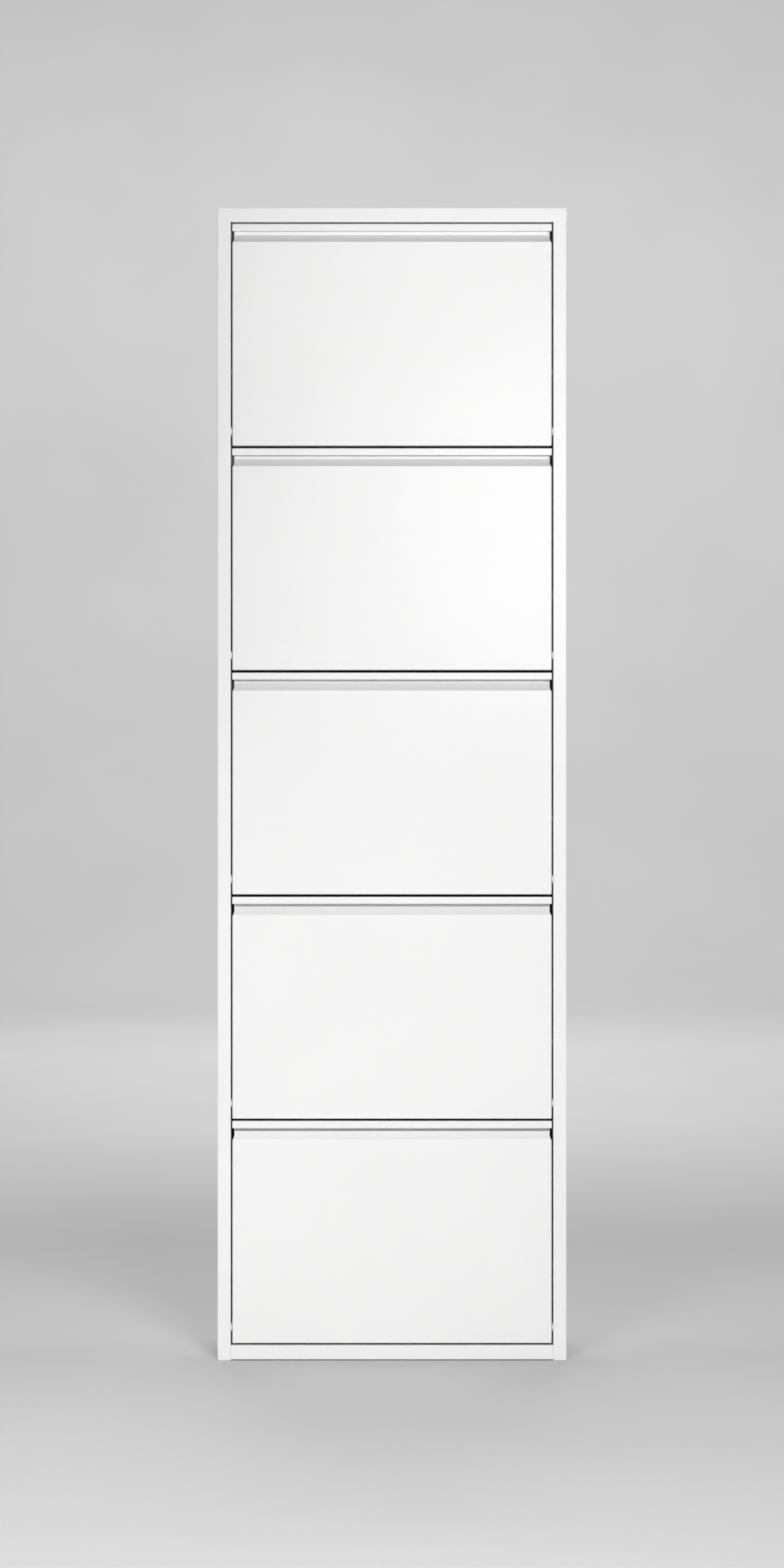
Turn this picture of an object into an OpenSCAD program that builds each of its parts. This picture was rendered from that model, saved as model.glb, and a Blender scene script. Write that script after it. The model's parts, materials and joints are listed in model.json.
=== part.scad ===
// Steel shoe cabinet with tilting flaps, one above the other.
// The origin is on the floor under the middle of the cabinet. +X is to the right, -Y is the front, +Z is up.

/* [Cabinet] */
// Width over the top cap
cabinet_w = 510; // [470:1:540]
// Depth from the cap's front to the rivet heads on the back
cabinet_d = 150; // [150:1:180]
// Number of flaps
flap_count = 5; // [2:1:5]
// Thickness of the steel sheet
sheet_t = 0.8; // [0.7:0.1:1]

/* [Frame] */
// Height of the top cap
cap_h = 21; // [18:0.5:30]
// Width of a front post's face
post_w = 19.2; // [18:0.2:26]
// Depth of a front post
post_d = 30; // [28:1:34]
// Height of the bottom rail
rail_h = 20.8; // [16:0.2:40]
// Thickness of a glide's sole under the sheet
glide_t = 1; // [1:0.5:4]
// Distance between the two wall holes
wall_hole_pitch = 360; // [300:10:400]
// Radius of a wall hole
wall_hole_r = 3.5; // [2.5:0.5:4]

/* [Flap] */
// Height of a flap
flap_h = 323.5; // [320:0.5:340]
// Gap between one flap and the next
flap_gap = 3.5; // [3.2:0.1:5]
// Gap between a flap and a post
side_gap = 2.25; // [2.25:0.05:2.6]
// Gap between the top flap and the cap
top_gap = 2.5; // [2:0.1:4]
// Gap between the bottom flap and the rail
bottom_gap = 3.2; // [3:0.1:5]
// How far a flap tilts open, in degrees
tilt = 35; // [25:1:36]
// Depth of the shoe pan
pan_d = 128; // [110:1:128]

/* [Handle] */
// Height of the grip strip
grip_h = 10.5; // [8:0.5:14]
// Height of the finger opening under the strip
finger_h = 15.7; // [14:0.1:20]
// Depth of the finger groove
groove_d = 13; // [11:0.5:16]

/* [Hidden] */
$fn = 48;
bend_r = 1;
bend_steps = 4;
corner_steps = 6;
drill = 1;

// Heights up the cabinet
rail_bottom = glide_t;
rail_top = rail_bottom + rail_h;
pitch = flap_h + flap_gap;
cap_bottom = rail_top + bottom_gap + flap_count * pitch - flap_gap + top_gap;
cabinet_h = cap_bottom + cap_h;

// The body stands one sheet inside the cap, and a rivet head inside the depth at the back
rivet_head_t = 0.8;
body_x = cabinet_w / 2 - sheet_t;
wall_x = body_x - sheet_t;
post_x = body_x - post_w;
front_y = sheet_t - cabinet_d / 2;
post_back_y = front_y + post_d;
cap_back_y = cabinet_d / 2 - rivet_head_t;
body_back_y = cap_back_y - sheet_t;
back_y = body_back_y - sheet_t;
inner_back_y = back_y - sheet_t;
body_top = cabinet_h - sheet_t;
post_lip = 6;
rear_flange = 16;
back_inset = 1.2;

// The flap, measured from its pivot: u is backwards and v is upwards
flap_x = post_x - side_gap;
cheek_x = flap_x - 2 * sheet_t;
pivot_u = 10;
pivot_v = 22;
pivot_y = front_y + pivot_u;
face_u = -pivot_u;
skin_u = face_u + sheet_t;
bottom_v = -pivot_v;
top_v = flap_h - pivot_v;
grip_v = top_v - grip_h;
crease_v = grip_v - finger_h;
groove_u = face_u + groove_d;
groove_wall = 3.5;
hem_d = 3.8;
hem_h = 7;
notch_w = 5;
flange_d = 15;
flap_return = 12;
return_up = 7;

// Shoe pan and the cheeks at its ends
pan_v = -12;
pan_back_u = skin_u + pan_d;
pan_back_v = 75;
pan_lip = 8;
pan_flange = 6;
cheek_r = 8;
cheek_back_v = 92;
cheek_top_v = 270;
cheek_top_u = 12;

// Rest bars across the flap, as [u, v], and their riveted ends
bar_places = [[94, 118], [60, 175]];
bar_r = 3.5;
bar_tenon_r = 2.5;
bar_head_r = 4;
bar_head_t = 1.2;

// Pivot pin, and its flanged bush in the post
slip = 0.05;
pin_r = 2.5;
pin_head_r = 5;
pin_head_t = 1.5;
pin_end_x = post_x + 3.6;
bush_r = 4.5;
bush_flange_r = 6.5;
bush_flange_t = 1.6;
bush_end_x = post_x + 3;

// Stop pin in the post, which runs in the cheek's curved slot
stop_place = [13, 88];
stop_orbit = norm(stop_place);
stop_lean = atan2(stop_place[0], stop_place[1]);
stop_pin_r = 2;
stop_head_r = 6.5;
stop_head_t = 1.4;
stop_head_x = cheek_x - 0.6;
stop_nut_r = 4.2;
stop_nut_t = 3.2;
sleeve_r = 4;
slot_play = 0.15;
slot_fn = 96;

// Rivets
rivet_r = 1.6;
rivet_head_r = 3;
rivet_bulb_r = 2.3;
rivet_bulb_t = 1.5;
side_rivet_x = body_x - rear_flange / 2;
side_rivet_rows = 6;
side_rivet_inset = 60;
rail_rivet_x = 110;

// Wall rail inside the back
wall_rail_z = cabinet_h - 80;
wall_rail_h = 44;
wall_rail_d = 12;
wall_rail_x = wall_x - 15;

// Returns of the cap and the bottom tray, and the glides in the corners
cap_lip = 15;
tray_lip = 12;
glide_h = 12;
glide_r = 1.5;
glide_wall = 2.5;
rear_glide = 17;

flaps = [1:flap_count];

// Height of flap k's pivot, counted from the top
function pivot_z(k) = cap_bottom - top_gap - top_v - (k - 1) * pitch;

// Places of the holes on the back, as [x, z]
side_rivets = [for (s = [-1, 1]) for (i = [0:side_rivet_rows - 1])
    [s * side_rivet_x, side_rivet_inset + i * (cap_bottom - 2 * side_rivet_inset) / (side_rivet_rows - 1)]];
cap_rivets = [for (s = [-1, 1]) [s * side_rivet_x, cabinet_h - cap_h / 2]];
inner_rivets = [for (s = [-1, 1]) for (z = [rail_bottom + rail_h / 2, wall_rail_z]) [s * rail_rivet_x, z]];
wall_holes = [for (s = [-1, 1]) [s * wall_hole_pitch / 2, wall_rail_z]];

// Unit vector to the left of the step from a to b
function left_of(a, b) = let (d = (b - a) / norm(b - a)) [-d[1], d[0]];

// Points of a list, last one first
function reversed(v) = [for (i = [len(v) - 1:-1:0]) v[i]];

// Arc of radius r round the corner p between a and b, moved to the left of the path by depth
function corner_arc(a, p, b, r, depth, steps) =
    let (n0 = left_of(a, p), n1 = left_of(p, b),
         side = sign(n0[0] * n1[1] - n0[1] * n1[0]),
         centre = p + side * r * (n0 + n1) / (1 + n0 * n1),
         from = atan2(n0[1], n0[0]),
         turn = side * acos(n0 * n1))
    [for (i = [0:steps]) let (t = from + turn * i / steps)
        centre - side * (r - side * depth) * [cos(t), sin(t)]];

// Bend in a sheet at corner p: the face that the path follows is the outside of the bend where it turns left
function sheet_bend(a, p, b, depth) =
    let (n0 = left_of(a, p), n1 = left_of(p, b),
         r = n0[0] * n1[1] - n0[1] * n1[0] > 0 ? bend_r + sheet_t : bend_r)
    corner_arc(a, p, b, r, depth, bend_steps);

// Outline of a folded sheet: one face follows the points, and the sheet lies to the left of them
function folded(pts) =
    let (last = len(pts) - 1,
         near = [for (i = [1:last - 1]) each sheet_bend(pts[i - 1], pts[i], pts[i + 1], 0)],
         far = [for (i = [1:last - 1]) each sheet_bend(pts[i - 1], pts[i], pts[i + 1], sheet_t)],
         n0 = left_of(pts[0], pts[1]),
         n1 = left_of(pts[last - 1], pts[last]))
    concat([pts[0]], near, [pts[last], pts[last] + sheet_t * n1], reversed(far), [pts[0] + sheet_t * n0]);

// Closed outline with each corner rounded to its own radius
function rounded(pts, radii) =
    let (n = len(pts))
    [for (i = [0:n - 1]) each corner_arc(pts[(i + n - 1) % n], pts[i], pts[(i + 1) % n],
                                         radii[i], 0, corner_steps)];

// Draws an outline given in Y and Z, from x to x + w
module across(x, w) translate([x, 0, 0]) rotate([90, 0, 90]) linear_extrude(w) children();

// Draws its children on the right side and mirrors them to the left
module both_sides() {
    children();
    mirror([1, 0, 0]) children();
}

// Moves to flap k's pivot
module at_pivot(k) translate([0, pivot_y, pivot_z(k)]) children();

// Cylinder along X from x to x_end, at [y, z]
module rod_x(place, x, x_end, r) {
    translate([x, place[0], place[1]]) rotate([0, 90, 0]) cylinder(h = x_end - x, r = r);
}

// Cylinder along Y from y to y_end, at [x, z]
module rod_y(place, y, y_end, r) {
    translate([place[0], y_end, place[1]]) rotate([90, 0, 0]) cylinder(h = y_end - y, r = r);
}

// Holes right through the back at the places given
module back_holes(places, r) for (p = places) rod_y(p, inner_back_y - sheet_t - drill, cap_back_y + drill, r);

// Rivets at the places given, with their heads on the face at y and the given grip of sheet under them
module rivets(places, y, grip) {
    for (p = places) {
        rod_y(p, y, y + rivet_head_t, rivet_head_r);
        rod_y(p, y - grip, y, rivet_r);
        rod_y(p, y - grip - rivet_bulb_t, y - grip, rivet_bulb_r);
    }
}

// Side sheet on the right: post lip, post return, post face, outer wall and rear flange in one fold
module side_panel() {
    color("white") difference() {
        translate([0, 0, rail_bottom]) linear_extrude(body_top - rail_bottom)
            polygon(folded([[post_x + post_lip, post_back_y], [post_x, post_back_y], [post_x, front_y],
                            [body_x, front_y], [body_x, body_back_y], [body_x - rear_flange, body_back_y]]));
        for (k = flaps) at_pivot(k) {
            rod_x([0, 0], post_x - drill, post_x + 2 * drill, bush_r + slip);
            rod_x(stop_place, post_x - drill, post_x + 2 * drill, stop_pin_r + slip);
        }
        back_holes(concat(side_rivets, cap_rivets), rivet_r + slip);
    }
}

// Top cap: a shallow box over the body, with a return behind its front edge
module top_cap() {
    color("white") {
        difference() {
            translate([-cabinet_w / 2, -cabinet_d / 2, cap_bottom])
                cube([cabinet_w, cap_back_y + cabinet_d / 2, cap_h]);
            translate([-body_x, front_y, cap_bottom - drill])
                cube([2 * body_x, body_back_y - front_y, cap_h + drill - sheet_t]);
            back_holes(cap_rivets, rivet_r + slip);
        }
        translate([-flap_x, -cabinet_d / 2, cap_bottom]) cube([2 * flap_x, cap_lip, sheet_t]);
    }
}

// Bottom tray: rear flange, floor, front rail and its return in one fold, with wings out to the side walls
module bottom_tray() {
    wing_d = inner_back_y - sheet_t - post_back_y;
    color("white") difference() {
        union() {
            across(-post_x, 2 * post_x)
                polygon(folded([[inner_back_y, rail_bottom], [inner_back_y, rail_top], [front_y, rail_top],
                                [front_y, rail_bottom], [front_y + tray_lip, rail_bottom]]));
            both_sides() {
                translate([post_x - drill, post_back_y, rail_top - sheet_t])
                    cube([wall_x - post_x + drill, wing_d, sheet_t]);
                translate([wall_x - sheet_t, post_back_y, rail_bottom]) cube([sheet_t, wing_d, rail_h]);
            }
        }
        back_holes(inner_rivets, rivet_r + slip);
    }
}

module back_panel() {
    half_w = wall_x - back_inset;
    color("white") difference() {
        translate([-half_w, inner_back_y, rail_bottom]) cube([2 * half_w, sheet_t, body_top - rail_bottom]);
        back_holes(concat(side_rivets, cap_rivets, inner_rivets), rivet_r + slip);
        back_holes(wall_holes, wall_hole_r);
    }
}

// Channel that stiffens the back where the wall screws pass
module wall_rail() {
    color("silver") difference() {
        across(-wall_rail_x, 2 * wall_rail_x)
            polygon(folded([for (p = [[-1, -1], [0, -1], [0, 1], [-1, 1]])
                [inner_back_y + p[0] * wall_rail_d, wall_rail_z + p[1] * wall_rail_h / 2]]));
        back_holes(inner_rivets, rivet_r + slip);
        back_holes(wall_holes, wall_hole_r);
    }
}

// Plastic glide: a hollow plug of size [w, d] on a sole that covers the sheet's lower edges
module glide(sole_at, sole, plug_at, plug) {
    box = [[0, 0], [1, 0], [1, 1], [0, 1]];
    translate(sole_at) linear_extrude(glide_t)
        polygon(rounded([for (c = box) [c[0] * sole[0], c[1] * sole[1]]], [for (c = box) glide_r]));
    translate(plug_at) difference() {
        linear_extrude(glide_h)
            polygon(rounded([for (c = box) [c[0] * plug[0], c[1] * plug[1]]], [for (c = box) glide_r]));
        translate([glide_wall, glide_wall, glide_t])
            cube([plug[0] - 2 * glide_wall, plug[1] - 2 * glide_wall, glide_h]);
    }
}

module floor_glides() {
    rear_sole_y = body_back_y - rear_glide;
    color("gainsboro") both_sides() {
        glide([post_x, front_y, 0], [post_w, post_d],
              [post_x + sheet_t, front_y + sheet_t, 0], [post_w - 2 * sheet_t, post_d - 2 * sheet_t]);
        glide([body_x - rear_glide, rear_sole_y, 0], [rear_glide, rear_glide],
              [body_x - rear_glide, rear_sole_y, 0], [rear_glide - 2 * sheet_t, inner_back_y - rear_sole_y]);
    }
}

// Rivets through the back: side flanges, cap, wall rail and tray
module back_rivets() {
    color("silver") {
        rivets(side_rivets, body_back_y, 2 * sheet_t);
        rivets(cap_rivets, cap_back_y, 3 * sheet_t);
        rivets(inner_rivets, back_y, 2 * sheet_t);
    }
}

// Nylon bushes in the posts, with their flanges towards the flap
module pivot_bushes(k) {
    color("gainsboro") at_pivot(k) both_sides() difference() {
        union() {
            rod_x([0, 0], post_x - bush_flange_t, post_x, bush_flange_r);
            rod_x([0, 0], post_x, bush_end_x, bush_r);
        }
        rod_x([0, 0], post_x - bush_flange_t - drill, bush_end_x + drill, pin_r + slip);
    }
}

// Shouldered screws in the posts, each with its nut inside the post
module stop_pins(k) {
    nut_x = post_x + sheet_t;
    color("silver") at_pivot(k) both_sides() {
        rod_x(stop_place, stop_head_x - stop_head_t, stop_head_x, stop_head_r);
        rod_x(stop_place, stop_head_x, nut_x + stop_nut_t, stop_pin_r);
        difference() {
            translate([nut_x, stop_place[0], stop_place[1]]) rotate([0, 90, 0])
                cylinder(h = stop_nut_t, r = stop_nut_r, $fn = 6);
            rod_x(stop_place, nut_x - drill, nut_x + stop_nut_t + drill, stop_pin_r);
        }
    }
}

// Nylon sleeves on the stop pins, which run in the cheeks' slots
module stop_sleeves(k) {
    color("gainsboro") at_pivot(k) both_sides() difference() {
        rod_x(stop_place, stop_head_x, post_x, sleeve_r);
        rod_x(stop_place, stop_head_x - drill, post_x + drill, stop_pin_r + slip);
    }
}

// Flap sheet: hem, grip strip, top, groove, face and bottom return in one fold, with flanges down its sides
module flap_front(k) {
    color("white") at_pivot(k) difference() {
        union() {
            across(-flap_x, 2 * flap_x)
                polygon(folded([[face_u + hem_d - sheet_t, grip_v + hem_h],
                                [face_u + hem_d - sheet_t, grip_v + sheet_t],
                                [skin_u, grip_v + sheet_t], [skin_u, top_v - sheet_t],
                                [groove_u, top_v - sheet_t], [groove_u, grip_v - groove_wall],
                                [face_u, crease_v], [face_u, bottom_v],
                                [face_u + flap_return, bottom_v],
                                [face_u + flap_return, bottom_v + return_up]]));
            both_sides() translate([flap_x - sheet_t, skin_u - sheet_t / 2, bottom_v + bend_r + sheet_t])
                cube([sheet_t, flange_d - sheet_t / 2, crease_v - bottom_v - 2 * (bend_r + sheet_t)]);
        }
        both_sides() {
            rod_x([0, 0], cheek_x - drill, post_x, pin_r + slip);
            translate([0, groove_u + 2 * drill, 0]) rotate([90, 0, 0]) linear_extrude(groove_d + 3 * drill)
                polygon([[flap_x + drill, crease_v + bend_r], [flap_x, crease_v + bend_r],
                         [flap_x - notch_w, grip_v - drill], [flap_x + drill, grip_v - drill]]);
        }
    }
}

// Curved slot round the pivot, long enough for the whole tilt
module stop_slot() {
    half_w = sleeve_r + slot_play;
    reach = 2 * stop_orbit;
    ends = [stop_lean, stop_lean + tilt];
    intersection() {
        difference() {
            circle(stop_orbit + half_w, $fn = slot_fn);
            circle(stop_orbit - half_w, $fn = slot_fn);
        }
        polygon(concat([[0, 0]], [for (a = ends) reach * [sin(a), cos(a)]]));
    }
    for (a = ends) translate(stop_orbit * [sin(a), cos(a)]) circle(half_w);
}

// Cheek at the flap's right end
module cheek(k) {
    outline = [[skin_u, pan_v], [pan_back_u, pan_v], [pan_back_u, cheek_back_v],
               [cheek_top_u, cheek_top_v], [skin_u, cheek_top_v]];
    color("white") at_pivot(k) difference() {
        across(cheek_x, sheet_t) difference() {
            polygon(rounded(outline, [1, cheek_r, 3 * cheek_r, 3 * cheek_r, 1]));
            stop_slot();
        }
        for (p = bar_places) rod_x(p, cheek_x - drill, post_x, bar_tenon_r + slip);
        rod_x([0, 0], cheek_x - drill, post_x, pin_r + slip);
    }
}

// Shoe pan: front flange, floor, back wall and lip in one fold, with low flanges against the cheeks
module pan(k) {
    flange_u = skin_u + 2 * (bend_r + sheet_t);
    color("white") at_pivot(k) {
        across(-cheek_x, 2 * cheek_x)
            polygon(folded([[skin_u, pan_v + pan_flange], [skin_u, pan_v], [pan_back_u, pan_v],
                            [pan_back_u, pan_back_v], [pan_back_u - pan_lip, pan_back_v]]));
        both_sides() translate([cheek_x - sheet_t, flange_u, pan_v])
            cube([sheet_t, pan_back_u - cheek_r - flange_u, pan_flange]);
    }
}

// Steel bars that shoes rest against, riveted to both cheeks
module rest_bars(k) {
    color("silver") at_pivot(k) for (p = bar_places) {
        rod_x(p, -cheek_x, cheek_x, bar_r);
        both_sides() {
            rod_x(p, cheek_x, cheek_x + sheet_t, bar_tenon_r);
            rod_x(p, cheek_x + sheet_t, cheek_x + sheet_t + bar_head_t, bar_head_r);
        }
    }
}

// Pins riveted through the cheeks, which turn in the bushes
module pivot_pins(k) {
    color("silver") at_pivot(k) both_sides() {
        rod_x([0, 0], cheek_x - pin_head_t, cheek_x, pin_head_r);
        rod_x([0, 0], cheek_x, pin_end_x, pin_r);
    }
}

mirror([1, 0, 0]) side_panel();  // side_panel_left
side_panel();  // side_panel_right
top_cap();
bottom_tray();
back_panel();
wall_rail();
floor_glides();
back_rivets();
for (k = flaps) {
    pivot_bushes(k);
    stop_pins(k);
    stop_sleeves(k);
    flap_front(k);
    mirror([1, 0, 0]) cheek(k);
    cheek(k);
    pan(k);
    rest_bars(k);
    pivot_pins(k);
}
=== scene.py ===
"""Sheet-steel shoe cabinet with five tilting flaps: the visible pieces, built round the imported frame.

Lengths are in metres. +X is to the right, -Y is the front, +Z is up, and the floor is at z = 0.
A flap's own shapes are worked out from its pivot: u is backwards (+Y) and v is upwards (+Z).
"""

import json
import math

import bpy
import numpy as np
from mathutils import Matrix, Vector
from mathutils.geometry import tessellate_polygon


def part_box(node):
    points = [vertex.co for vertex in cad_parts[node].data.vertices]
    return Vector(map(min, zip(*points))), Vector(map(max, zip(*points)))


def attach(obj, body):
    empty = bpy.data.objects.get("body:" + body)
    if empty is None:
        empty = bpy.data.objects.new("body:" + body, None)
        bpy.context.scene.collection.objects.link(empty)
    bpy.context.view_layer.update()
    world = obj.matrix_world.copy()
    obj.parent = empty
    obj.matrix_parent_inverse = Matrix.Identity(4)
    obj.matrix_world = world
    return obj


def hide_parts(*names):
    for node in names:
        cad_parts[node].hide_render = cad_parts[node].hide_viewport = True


MM = 0.001
SHEET = 0.8 * MM
INSIDE_BEND = 0.6 * MM
BEND_STEPS = 8
RIM = 0.18 * MM
PIN_HOLE = 2.55 * MM
WALL_HOLE = 3.5 * MM
HOLE_CELL = 9 * MM
TRAVEL = math.radians(35)
TINY = 1e-6

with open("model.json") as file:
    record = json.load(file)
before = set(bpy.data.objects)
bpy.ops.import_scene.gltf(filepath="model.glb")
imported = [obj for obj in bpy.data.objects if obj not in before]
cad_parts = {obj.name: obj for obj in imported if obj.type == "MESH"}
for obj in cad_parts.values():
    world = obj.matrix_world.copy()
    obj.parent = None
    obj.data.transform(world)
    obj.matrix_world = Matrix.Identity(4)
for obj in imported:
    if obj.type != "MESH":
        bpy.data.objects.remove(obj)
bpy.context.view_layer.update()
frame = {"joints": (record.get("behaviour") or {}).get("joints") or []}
FLAPS = len(frame["joints"])
PIVOTS = {joint["child"]: joint["pos_m"] for joint in frame["joints"]}


# ---------------------------------------------------------------- sheet and turned shapes

def unit(vector):
    return vector / np.linalg.norm(vector)


def left_of(start, end):
    """Unit vector to the left of the step from start to end."""
    along = unit(end - start)
    return np.array([-along[1], along[0]])


def fold_line(corners, inside=INSIDE_BEND, steps=BEND_STEPS):
    """One face of a folded sheet as a line, with the unit vectors into the sheet, which lies to its left.

    Straight runs join arcs that touch both sides of each corner. Where the line turns left it is the outside
    of the bend, so the arc's radius is the inside radius plus the sheet. A corner that doesn't turn is kept
    as a plain point, to divide a run.
    """
    corners = np.asarray(corners, float)
    points = [corners[:1]]
    normals = [left_of(corners[0], corners[1])[None]]
    for before, corner, after in zip(corners, corners[1:], corners[2:]):
        n0, n1 = left_of(before, corner), left_of(corner, after)
        cross = n0[0] * n1[1] - n0[1] * n1[0]
        if abs(cross) < TINY:
            points.append(corner[None])
            normals.append(n0[None])
            continue
        side = math.copysign(1, cross)
        radius = inside + SHEET if side > 0 else inside
        centre = corner + side * radius * (n0 + n1) / (1 + n0 @ n1)
        start = math.atan2(n0[1], n0[0])
        angle = start + side * math.acos(np.clip(n0 @ n1, -1, 1)) * np.linspace(0, 1, steps + 1)
        normal = np.stack([np.cos(angle), np.sin(angle)], 1)
        points.append(centre - side * radius * normal)
        normals.append(normal)
    points.append(corners[-1:])
    normals.append(left_of(corners[-2], corners[-1])[None])
    return np.concatenate(points), np.concatenate(normals)


def flat_line(places):
    """A fold line with no folds: the places along it, with the sheet's depth as the second direction."""
    places = np.asarray(places, float)
    zeros = np.zeros_like(places)
    return np.stack([places, zeros], 1), np.stack([zeros, zeros + 1], 1)


def grid_faces(rows, columns, present, first):
    """Quads of the grid's cells that are present, from vertex number first."""
    row, column = np.nonzero(present)
    corner = first + row * columns + column
    return np.stack([corner, corner + 1, corner + columns + 1, corner + columns], 1)


def rim_faces(rows, columns, present, skip):
    """Quads from one face of the sheet to the other along every cell edge with a cell on one side only."""
    padded = np.zeros((rows + 1, columns + 1), bool)
    padded[1:-1, 1:-1] = present
    strips = []
    for axis, step in ((0, 1), (1, columns)):
        before = padded[:-1, 1:-1] if axis == 0 else padded[1:-1, :-1]
        after = padded[1:, 1:-1] if axis == 0 else padded[1:-1, 1:]
        for open_side, flip in ((after & ~before, False), (before & ~after, True)):
            row, column = np.nonzero(open_side)
            start = row * columns + column
            quad = np.stack([start, start + step, start + step + skip, start + skip], 1)
            strips.append(quad[:, ::-1] if flip == (axis == 1) else quad)
    return np.concatenate(strips)


def folded(line, across, flanged=None, widths=None, holes=()):
    """A folded sheet as a closed solid: a grid carried along two fold lines.

    line is the fold line up the sheet and across the one over its width, each as (points, normals). Row i
    and column j meet at (c, a + h * na, b + h * nb): c and h are the across line's place and depth, (a, b)
    the line's point and (na, nb) the base normal. The other face is one sheet away along the normals. Folded
    columns hold only in the flanged rows. widths gives each row's half-width. Each hole is (row, column,
    centre, radius) in a flat cell.
    """
    points, normals = line
    places, tilts = across
    rows, columns = len(points), len(places)
    base_column = np.abs(tilts[:, 1] - 1) < TINY
    flanged = np.zeros(rows, bool) if flanged is None else flanged
    base = normals[np.flatnonzero(flanged)[0]] if flanged.any() else normals[0]
    base_half = np.abs(places[base_column, 0]).max()
    stretch = np.ones(rows) if widths is None else np.asarray(widths) / base_half
    c = np.where(base_column, places[:, 0] * stretch[:, None], places[:, 0])
    depth = np.where(base_column, 0, places[:, 1])
    face = np.empty((rows, columns, 3))
    face[..., 0] = c
    face[..., 1:] = points[:, None] + depth[None, :, None] * base
    into = np.empty_like(face)
    into[..., 0] = np.where(base_column, 0, tilts[:, 0])
    into[..., 1:] = np.where(base_column[None, :, None], normals[:, None], tilts[None, :, 1:] * base)
    both_rows = flanged[:-1] & flanged[1:]
    both_columns = base_column[:-1] & base_column[1:]
    present = both_columns[None] | both_rows[:, None]
    punched = present.copy()
    for row, column, _, _ in holes:
        punched[row, column] = False
    skip = rows * columns
    vertices = [face.reshape(-1, 3), (face + SHEET * into).reshape(-1, 3)]
    faces = grid_faces(rows, columns, punched, 0).tolist()
    faces += grid_faces(rows, columns, punched, skip)[:, ::-1].tolist()
    faces += rim_faces(rows, columns, present, skip).tolist()
    count = 2 * skip
    for row, column, centre, radius in holes:
        ring, quads = punch(row, column, columns, skip, count, face, into, centre, radius)
        vertices.append(ring)
        faces += quads
        count += len(ring)
    return np.concatenate(vertices), faces


def punch(row, column, columns, skip, first, face, into, centre, radius, around=32):
    """A round hole in one flat cell: a ring on each face, a wall between them, and patches to the corners."""
    corners = face[[row, row, row + 1, row + 1], [column, column + 1, column + 1, column]]
    along = unit(corners[1] - corners[0])
    up = unit(corners[3] - corners[0])
    angle = 2 * math.pi * np.arange(around) / around
    spoke = np.cos(angle)[:, None] * along + np.sin(angle)[:, None] * up
    middle = np.asarray(centre, float)
    ring = middle + radius * spoke
    numbers = np.array([row * columns + column, row * columns + column + 1,
                        (row + 1) * columns + column + 1, (row + 1) * columns + column])
    quarter = around // 4
    faces = []
    for k in range(4):
        arc = (5 * quarter // 2 + (k + 1) * quarter - np.arange(quarter + 1)) % around
        faces.append([numbers[k], numbers[(k + 1) % 4], *(first + arc)])
        faces.append([numbers[k] + skip, *(first + around + arc)[::-1], numbers[(k + 1) % 4] + skip])
    near = first + np.arange(around)
    after = first + (np.arange(around) + 1) % around
    faces += np.stack([near, after, after + around, near + around], 1).tolist()
    return np.concatenate([ring, ring + SHEET * into[row, column]]), faces


def inset(loop, distance):
    """Moves a closed loop to its left, each corner along its mitre."""
    ahead = np.roll(loop, -1, 0) - loop
    ahead /= np.linalg.norm(ahead, axis=1)[:, None]
    normal = np.stack([-ahead[:, 1], ahead[:, 0]], 1)
    before = np.roll(normal, 1, 0)
    mitre = (normal + before) / (1 + np.sum(normal * before, 1))[:, None]
    return loop + distance * mitre


def plate(loops, thickness=SHEET, rim=RIM, steps=2):
    """A flat plate with rounded rims. loops[0] is its outline, anticlockwise, and the rest its holes.

    Ring k is every loop moved into the material by rim (1 - sin a) at depth rim (1 - cos a), and the same
    again from the far side. The two faces are the first and last rings, filled between their loops.
    """
    angle = np.linspace(0, math.pi / 2, steps + 1)
    moves = rim * (1 - np.sin(angle))
    depths = rim * (1 - np.cos(angle))
    moves = np.concatenate([moves, moves[::-1]])
    depths = np.concatenate([depths, thickness - depths[::-1]])
    count = sum(len(loop) for loop in loops)
    rings = [np.concatenate([inset(loop, move) for loop in loops]) for move in moves]
    layers = [np.column_stack([ring, np.full(count, depth)]) for ring, depth in zip(rings, depths)]
    vertices = np.concatenate(layers)
    flat = [[(x, y, 0) for x, y in inset(loop, moves[0])] for loop in loops]
    fill = np.array(tessellate_polygon(flat))
    a, b, c = (rings[0][fill[:, k]] for k in range(3))
    turned = np.cross(b - a, c - a) > 0
    fill[turned] = fill[turned][:, ::-1]
    last = count * (len(moves) - 1)
    faces = fill.tolist() + (fill[:, ::-1] + last).tolist()
    start = 0
    for loop in loops:
        here = start + np.arange(len(loop))
        after = start + (np.arange(len(loop)) + 1) % len(loop)
        for k in range(len(moves) - 1):
            low, high = k * count, (k + 1) * count
            faces += np.stack([here + low, after + low, after + high, here + high], 1).tolist()
        start += len(loop)
    return vertices, faces


def soften(points, radius, steps=3, closed=False):
    """A line with its corners turned to arcs of one radius, or of a radius for each inner corner."""
    points = np.asarray(points, float)
    if closed:
        points = np.concatenate([points[-1:], points, points[:1]])
    radii = np.broadcast_to(radius, len(points) - 2)
    result = [] if closed else [points[:1]]
    for before, corner, after, r in zip(points, points[1:], points[2:], radii):
        n0, n1 = left_of(before, corner), left_of(corner, after)
        side = math.copysign(1, n0[0] * n1[1] - n0[1] * n1[0])
        centre = corner + side * r * (n0 + n1) / (1 + n0 @ n1)
        start = math.atan2(n0[1], n0[0])
        angle = start + side * math.acos(np.clip(n0 @ n1, -1, 1)) * np.linspace(0, 1, steps + 1)
        result.append(centre - side * r * np.stack([np.cos(angle), np.sin(angle)], 1))
    if not closed:
        result.append(points[-1:])
    return np.concatenate(result)


def circle(centre, radius, around=40):
    """A hole's loop, clockwise."""
    angle = -2 * math.pi * np.arange(around) / around
    return np.asarray(centre) + radius * np.stack([np.cos(angle), np.sin(angle)], 1)


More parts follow.
